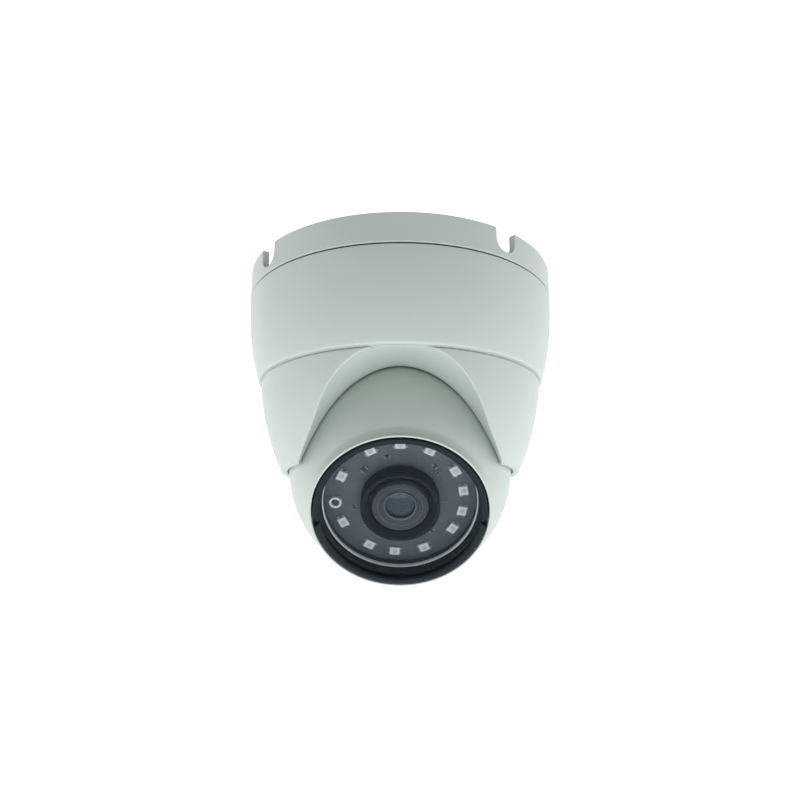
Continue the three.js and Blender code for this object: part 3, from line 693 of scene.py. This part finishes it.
def dome_levels():
    """(z, outer radius, inner radius) from just under the deck to the rim's soft edges."""
    levels = []
    face = bezier((DOME_RIM_R, DOME_RIM_Z + 0.4), (41.0, -48.7), (SHOULDER_R, SHOULDER_Z - 0.5), 200)

    def face_radius(z):
        after = next(i for i, (_, height) in enumerate(face) if height >= z - 1e-9)
        if after == 0:
            return face[0][0]
        (r0, z0), (r1, z1) = face[after - 1], face[after]
        return r0 + (r1 - r0) * (z - z0) / (z1 - z0)

    def socket(z):
        return math.sqrt(SOCKET_R ** 2 - (z - BALL.z) ** 2)

    drop = DECK_LOW - DOME_RIM_Z
    heights = [DECK_LOW + 0.02 - drop * (i / 110) ** 2 for i in range(111)]
    levels += [(z, NECK_R, socket(z)) for z in heights if z > SHOULDER_Z + 0.02]
    levels.append((SHOULDER_Z, NECK_R, socket(SHOULDER_Z)))
    corner = (SHOULDER_R, SHOULDER_Z)
    for r, z in bezier((SHOULDER_R - 0.5, SHOULDER_Z), corner, (SHOULDER_R, SHOULDER_Z - 0.5), 6):
        levels.append((z, r, socket(z)))
    for z in heights:
        if SHOULDER_Z - 0.55 > z > DOME_RIM_Z + 0.45:
            levels.append((z, face_radius(z), socket(z)))
    corner = (DOME_RIM_R - 0.1, DOME_RIM_Z)
    edge = bezier((DOME_RIM_R, DOME_RIM_Z + 0.4), corner, (DOME_RIM_R - 0.5, DOME_RIM_Z), 6)
    lip = bezier((0, DOME_RIM_Z + 0.4), (0, DOME_RIM_Z), (0.35, DOME_RIM_Z), 6)
    for (r, z), (ease, _) in zip(edge, lip):
        levels.append((z, r, socket(z) + ease))
    return levels


def dome_cover():
    rows, outside, side = [], 0, 0
    for z, outer, inner in dome_levels():
        row, outside, side = dome_row(z, outer, inner)
        rows.append(row)
    shape = grid(rows, close_columns=True)
    width = len(rows[0])
    caps = []
    for start in (0, (len(rows) - 1) * width):
        inside_end = outside + side + outside - 1
        for i in range(outside - 1):
            inner = inside_end - i
            caps.append((start + i, start + i + 1, start + inner - 1, start + inner))
        caps.append([start + i for i in range(outside - 1, outside + side + 1)])
        caps.append([start + i for i in range(inside_end, width)] + [start])
    relief_z = BALL.z + math.sqrt(SOCKET_R ** 2 - SEAT_HOLE_R ** 2)
    relief_r = math.sqrt(SOCKET_R ** 2 - (DECK_LOW - BALL.z) ** 2)
    deck = rounded([
        (SEAT_HOLE_R, relief_z),
        (relief_r, DECK_LOW),
        (NECK_R, DECK_LOW),
        (NECK_R, DECK_TOP, 0.3),
        (SEAT_HOLE_R, DECK_TOP, 0.3),
    ])
    whole = joined((shape[0], list(shape[1]) + caps), revolve(deck, ROUND))
    finished("dome_cover_skin", whole, "shell_paint", "dome", ["dome_cover"])


# ------------------------------------------------------------------ the tilting ball

def ball_front_shell():
    sleeve = SLEEVE_R + SLEEVE_WALL
    sleeve_front = math.sqrt(BALL_INNER_R ** 2 - sleeve ** 2)
    lip_base = math.sqrt(BALL_R ** 2 - LIP_BASE_R ** 2)
    outer = arc(BALL_R, lip_base, PARTING_Z + 0.3, 48)
    rise = bezier((LIP_EDGE_R, LIP_FRONT - 0.25), (LIP_EDGE_R + 0.35, LIP_FRONT - 2.0), outer[0], 10)
    edge = rounded(
        [(SLEEVE_R, LIP_FRONT - 1), (SLEEVE_R, LIP_FRONT, 0.15), (LIP_EDGE_R, LIP_FRONT, 0.25), rise[1]],
        closed=False,
    )
    parting = bezier(outer[-1], (outer[-1][0] + 0.01, PARTING_Z), (outer[-1][0] - 0.35, PARTING_Z), 5)
    profile = arc(BALL_INNER_R, PARTING_Z, sleeve_front, 20)
    profile += [(sleeve, SLEEVE_BACK), (SLEEVE_R, SLEEVE_BACK)]
    profile += edge[1:-1] + rise[1:] + outer[1:] + parting[1:]
    profile.append(profile[0])
    shape = revolve(profile, ROUND)
    finished("ball_front_skin", shape, "shell_paint", "ball", ["ball_front_shell"], BALL_FRAME)


def ball_rear_shell():
    front = PARTING_Z - PARTING_GAP
    mouth = 6.0
    outer = arc(BALL_R, -math.sqrt(BALL_R ** 2 - (mouth + 0.4) ** 2), front - 0.3, 48)
    lip = bezier((mouth, outer[0][1] + 0.4), (mouth, outer[0][1]), outer[0], 5)
    parting = bezier(outer[-1], (outer[-1][0] + 0.01, front), (outer[-1][0] - 0.35, front), 5)
    profile = arc(BALL_INNER_R, front, -math.sqrt(BALL_INNER_R ** 2 - mouth ** 2), 30)
    profile += lip + outer[1:] + parting[1:]
    profile.append(profile[0])
    piece = build("ball_rear_skin", revolve(profile, ROUND), "shell_paint", BALL_FRAME)
    places = [BALL_FRAME @ Matrix.Translation(on_window(BALL_SCREW_R, a)) for a in BALL_SCREW_ANGLES]
    for place in places:
        cut(piece, post(BALL_SCREW_WELL_R, -24, BALL_SCREW_SEAT, SMALL * 2), place)
    settle(piece, "ball", ["ball_rear_shell"])
    for i, place in enumerate(places):
        screw_well(f"screw_well_{i + 1}", place)


def screw_well(name, place):
    """The tube that a ball screw sinks into, trimmed to just inside the ball's surface."""
    wall = rounded([
        (BALL_SCREW_WELL_R, -17.2),
        (3.2, -17.2),
        (3.2, -5),
        (1.0, -5),
        (1.0, BALL_SCREW_SEAT),
        (BALL_SCREW_WELL_R, BALL_SCREW_SEAT),
    ])
    piece = build(name, revolve(wall, SMALL * 2), "shell_paint", place)
    surface = arc(BALL_R - 0.15, -32.6, 0, 40)
    around_ball = [(0, -32.75)] + surface + [(60, 0), (60, -60), (0, -60)]
    cut(piece, revolve(around_ball, ROUND), BALL_FRAME)
    settle(piece, "ball", ["ball_rear_shell"])


def ball_small_parts():
    seal = rounded([
        (31.0, -3.85, 0.1),
        (32.35, -3.85, 0.15),
        (32.35, -3.55, 0.15),
        (31.0, -3.55, 0.1),
    ])
    finished("ball_seal_fine", revolve(seal, ROUND), "rubber", "ball", ["ball_seal"], BALL_FRAME)
    grommet = rounded([
        (2.6, -31.9, 0.4),
        (5.7, -31.9, 0.6),
        (5.7, -29.2),
        (8, -29.2, 0.2),
        (8, -28.1, 0.3),
        (2.6, -28.1, 0.3),
    ])
    shape = revolve(grommet, SMALL * 2)
    finished("ball_grommet_fine", shape, "rubber", "ball", ["ball_grommet"], BALL_FRAME)
    for i, angle in enumerate(BALL_SCREW_ANGLES):
        node = f"ball_screw_{i + 1}"
        seat = on_window(BALL_SCREW_R, angle, BALL_SCREW_SEAT - 0.05)
        place = BALL_FRAME @ Matrix.Translation(seat)
        place = place @ Matrix.Rotation(math.pi, 4, "X") @ Matrix.Rotation(0.3 + i, 4, "Z")
        pan_head_screw(
            f"{node}_fine", place, "ball", [node], shank=0.95, head=1.8, height=1.4, length=11
        )


# ------------------------------------------------------------------ the rolling module

def bezel():
    corners = [
        (BEZEL_INNER_R, 16.2),
        (BEZEL_R, 16.2, 0.15),
        (BEZEL_R, BEZEL_FRONT, 0.75),
        (WINDOW_OPENING_R + 0.6, BEZEL_FRONT, 0.3),
        (WINDOW_OPENING_R, BEZEL_FRONT - 0.6, 0.3),
        (WINDOW_OPENING_R, GLASS_FRONT + 0.05),
        (BEZEL_INNER_R, GLASS_FRONT + 0.05),
    ]
    # each notch is a V, a little wider and deeper than in the CAD
    wedge = [(-1.8, 0.35), (-0.2, -1.7), (0.2, -1.7), (1.8, 0.35)]
    cuts = []
    for angle in GRIP_NOTCH_ANGLES:
        turn = Matrix.Rotation(-math.radians(angle), 4, "Z")
        rows = [[turn @ Vector((x, BEZEL_R + y, z)) for x, y in wedge] for z in (22.2, 26)]
        vertices, faces = grid(rows, close_columns=True)
        cuts.append((vertices, list(faces) + [(3, 2, 1, 0), (4, 5, 6, 7)]))
    shape = revolve(rounded(corners), ROUND)
    finished("bezel_skin", shape, "bezel_black", "module", ["bezel"], BALL_FRAME, cuts)


def module_piece(name, profile, slot, node, sides=FINE):
    finished(name, revolve(profile, sides), slot, "module", [node], BALL_FRAME)


def window_stack():
    glass = rounded(
        [(0, GLASS_BACK), (GLASS_R, GLASS_BACK, 0.25), (GLASS_R, GLASS_FRONT, 0.25), (0, GLASS_FRONT)],
        closed=False,
    )
    module_piece("window_pane", glass, "window_glass", "window_glass", ROUND)
    seal = rounded([(21.9, 20.5, 0.2), (GLASS_R, 20.5), (GLASS_R, 20.95), (21.9, 20.95, 0.2)])
    module_piece("window_seal_fine", seal, "rubber", "window_seal")
    low = LED_CLAMP_TOP + 0.05
    baffle = rounded([(21.5, low, 0.1), (GLASS_R, low), (GLASS_R, 20.45), (22.0, 20.45, 0.2)])
    module_piece("baffle_ring_fine", baffle, "bezel_black", "baffle_ring")


def light_board():
    """The clamp that holds the board, the board itself, and the soft hood round the lens."""
    seat = BOARD_FRONT + 0.05
    wall_top = LED_CLAMP_TOP - 1
    clamp = rounded([
        (LED_CLAMP_R, seat, 0.15),
        (GLASS_R, seat),
        (GLASS_R, wall_top),
        (LED_CLAMP_R, wall_top, 0.1),
    ])
    wall = build("led_retainer_wall", revolve(clamp, FINE), "black_matte", BALL_FRAME)
    settle(wall, "module", ["led_retainer"])
    # painted highlight: only this thin front band of the clamp is light aluminium, standing partly for the bright
    # line its rim catches; the rest of the clamp is drawn black
    highlight_band_low, highlight_band_r = LED_CLAMP_TOP - ALUMINIUM_AND_HIGHLIGHT_BAND, LED_CLAMP_R - 0.05
    metal_and_highlight_band = rounded([
        (highlight_band_r, highlight_band_low, 0.1),
        (GLASS_R, highlight_band_low),
        (GLASS_R, LED_CLAMP_TOP),
        (highlight_band_r, LED_CLAMP_TOP, 0.3),
    ])
    module_piece("led_retainer_edge", metal_and_highlight_band, "aluminium", "led_retainer")
    back = BOARD_FRONT - BOARD_THICK
    board = rounded([
        (8.9, back, 0.1),
        (22.5, back, 0.1),
        (22.5, BOARD_FRONT, 0.1),
        (8.9, BOARD_FRONT, 0.1),
    ])
    module_piece("led_board_fine", board, "circuit_board", "led_board")
    foam = rounded(
        [
            (HOOD_R, seat, 0.3),
            (HOOD_OUTER_R, seat, 0.2),
            (HOOD_OUTER_R, HOOD_FRONT, 0.5),
            (HOOD_RIM_R, HOOD_FRONT, 0.5),
            (HOOD_R, HOOD_THROAT, 0.3),
        ],
        steps=7,
    )
    module_piece("lens_sleeve_soft", foam, "foam", "lens_sleeve")


def led_shapes():
    """The parts of one light package, on a board at z = 0: frame, white body and clear emitter."""
    width, length, height = LED_SIZE
    lead = (width * 0.2, length * 0.24, height * 0.3)
    leads = [
        bevelled_box(lead, 0.04, (x * width * 0.54, y * length * 0.28, 0.16))
        for x in (-1, 1)
        for y in (-1, 1)
    ]
    case = bevelled_box((width, length, height * 0.5), 0.06, (0, 0, height * 0.25))
    body = bevelled_box((width * 0.86, length * 0.88, height * 0.4), 0.09, (0, 0, height * 0.62))
    low, top, inner, outer = height * 0.8, height * 0.9, 0.74, 1.02
    rim = rounded([(inner, low), (outer, low), (outer, top, 0.05), (inner, top, 0.05)])
    dome = [(0, height * 0.78), (0.76, height * 0.78)]
    dome += bezier((0.76, height * 0.84), (0.5, height), (0, height), 8)
    return {
        "frame": ("led_frame", joined(case, *leads)),
        "body": ("led_package", joined(body, revolve(rim, SMALL))),
        "emitter": ("led_emitter", revolve(dome, SMALL)),
    }


def infrared_leds():
    shapes = led_shapes()
    for i, angle in enumerate(LED_ANGLES):
        node = f"ir_led_{i + 1:02d}"
        turn = Matrix.Rotation(-math.radians(angle), 4, "Z")
        foot = on_window(LED_RING_R, angle, BOARD_FRONT + 0.05)
        place = BALL_FRAME @ Matrix.Translation(foot) @ turn
        for part, (material, shape) in shapes.items():
            piece = build(f"{node}_{part}", shape, material, place)
            settle(piece, "module", [node])


def board_components():
    """The small chips and resistors that feed the lights, each with a solder cap at both ends."""
    chips = (
        # radius and angle on the board, length, width
        (14.2, 346, 1.6, 0.8),
        (13.9, 315, 2.0, 1.2),
        (14.3, 41, 1.6, 0.8),
        (13.2, 50, 1.2, 0.6),
        (13.4, 258, 1.2, 0.6),
        (14.0, 140, 1.6, 0.8),
        (13.2, 226, 1.6, 0.8),
        (13.0, 91, 1.2, 0.6),
    )
    body_height, cap_height = 0.42, 0.46
    bodies, ends = [], []
    for radius, angle, length, width in chips:
        turn = Matrix.Rotation(-math.radians(angle), 4, "Z")
        place = Matrix.Translation(on_window(radius, angle, BOARD_FRONT)) @ turn
        body = bevelled_box((length * 0.7, width, body_height), 0.04, (0, 0, body_height / 2))
        bodies.append(moved(body, place))
        for side in (-1, 1):
            centre = (side * length * 0.42, 0, cap_height / 2)
            cap = bevelled_box((length * 0.18, width * 1.02, cap_height), 0.04, centre)
            ends.append(moved(cap, place))
    dark = build("board_chips", joined(*bodies), "chip", BALL_FRAME)
    settle(dark, "module", ["led_board"])
    solder = build("board_solder", joined(*ends), "led_frame", BALL_FRAME)
    settle(solder, "module", ["led_board"])


def light_sensor():
    foot = on_window(LIGHT_SENSOR_R, LIGHT_SENSOR_ANGLE, BOARD_FRONT + 0.05)
    place = BALL_FRAME @ Matrix.Translation(foot)
    rim = rounded([(1.05, 0), (1.8, 0), (1.8, 1.05, 0.2), (1.15, 1.05, 0.2), (1.05, 0.5)])
    piece = build("light_sensor_rim", revolve(rim, SMALL), "led_package", place)
    settle(piece, "module", ["light_sensor"])
    core = rounded([(0, 0), (1.04, 0), (1.04, 0.6, 0.1), (0.5, 0.85, 0.2), (0, 0.9)], closed=False)
    piece = build("light_sensor_core", revolve(core, SMALL), "chip", place)
    settle(piece, "module", ["light_sensor"])


def lens():
    barrel = rounded([
        (4.3, 6.2),
        (6.0, 6.2, 0.2),
        (6.0, 12.0),
        (8.1, 12.6),
        (8.1, 19.3, 0.3),
        (7.6, 20.2, 0.3),
        (7.0, 20.2, 0.4),
        (4.72, 19.42, 0.1),
        (4.68, 19.2),
        (4.3, 19.1),
    ])
    module_piece("lens_barrel_fine", barrel, "black_matte", "lens_barrel")
    band = rounded([(4.12, 19.1), (4.66, 19.3), (4.66, 19.62, 0.06), (4.12, 19.5, 0.06)])
    ridge = rounded([(6.05, 19.7), (6.3, 19.8), (6.3, 20.0, 0.08), (6.05, 19.9, 0.08)])
    shape = joined(revolve(band, FINE), revolve(ridge, FINE))
    rings = build("lens_front_rings", shape, "lens_ring", BALL_FRAME)
    settle(rings, "module", ["lens_barrel"])
    front = [(0, 16.4), (4.05, 16.4)] + bezier((4.05, 18.7), (2.2, 19.2), (0, 19.2), 12)
    module_piece("lens_front_fine", front, "lens_glass", "lens_front_glass")


# ------------------------------------------------------------------ hidden pieces keep their CAD shapes

def dress_inner_nodes():
    slots = {part["node"]: part["material_slot"] for part in frame["record"]["subparts"]}
    for name, node in frame["nodes"].items():
        if not node.hide_render:
            node.data.materials.clear()
            node.data.materials.append(MATERIALS[slots[name]])


# ------------------------------------------------------------------ studio

def cyclorama():
    """A pale floor that sweeps up into a backdrop, with the backdrop lit to white."""
    floor_z, reach, back, bend, top = -420, 2600, 1100, 500, 2400
    line = [(-reach, floor_z), (back, floor_z)]
    line += [
        (back + bend * math.sin(math.pi * i / 40), floor_z + bend * (1 - math.cos(math.pi * i / 40)))
        for i in range(1, 21)
    ]
    line.append((back + bend, top))
    rows = [[Vector((x, y, z)) for y, z in line] for x in (-reach, reach)]
    stage = build("cyclorama", grid(rows), "floor")
    stage.data.shade_smooth()


def softbox(name, place, target, size, power, color=(1, 1, 1)):
    light = bpy.data.lights.new(name, "AREA")
    light.shape = "RECTANGLE"
    light.size, light.size_y = (MM * s for s in size)
    light.energy = power
    light.color = color
    lamp = bpy.data.objects.new(name, light)
    lamp.location = MM * Vector(place)
    lamp.rotation_euler = (Vector(target) - Vector(place)).to_track_quat("-Z", "Y").to_euler()
    bpy.context.scene.collection.objects.link(lamp)


def studio():
    cyclorama()
    world = bpy.data.worlds.new("studio")
    world.use_nodes = True
    background = world.node_tree.nodes["Background"]
    background.inputs["Color"].default_value = (0.96, 0.98, 1.0, 1)
    background.inputs["Strength"].default_value = 0.28
    bpy.context.scene.world = world
    centre = (0, 0, -50)
    softbox("left", (-520, -60, -60), centre, (500, 700), 1.0)
    softbox("right", (520, -60, -60), centre, (500, 700), 1.2)
    softbox("back_left", (-480, 260, -60), centre, (300, 700), 0.35)
    softbox("back_right", (480, 260, -60), centre, (300, 700), 0.35)
    softbox("below", (0, -260, -400), centre, (500, 300), 1.2, (0.84, 0.92, 1.0))
    bpy.context.scene.view_settings.view_transform = "Standard"


def camera():
    """A close wide view, about level with the lowest point of the object and looking slightly up."""
    place, look_up = (-0.05, -202, -90.45), 14.65
    data = bpy.data.cameras.new("camera")
    data.sensor_width = 36
    data.lens = 30.44
    data.clip_start = 0.01
    eye = bpy.data.objects.new("camera", data)
    eye.location = MM * Vector(place)
    eye.rotation_euler = (math.radians(90 + look_up), 0, 0)
    bpy.context.scene.collection.objects.link(eye)
    bpy.context.scene.camera = eye


camera()
mounting_base()
body_ring()
base_small_parts()
dome_cover()
ball_front_shell()
ball_rear_shell()
ball_small_parts()
bezel()
window_stack()
light_board()
infrared_leds()
board_components()
light_sensor()
lens()
dress_inner_nodes()
studio()
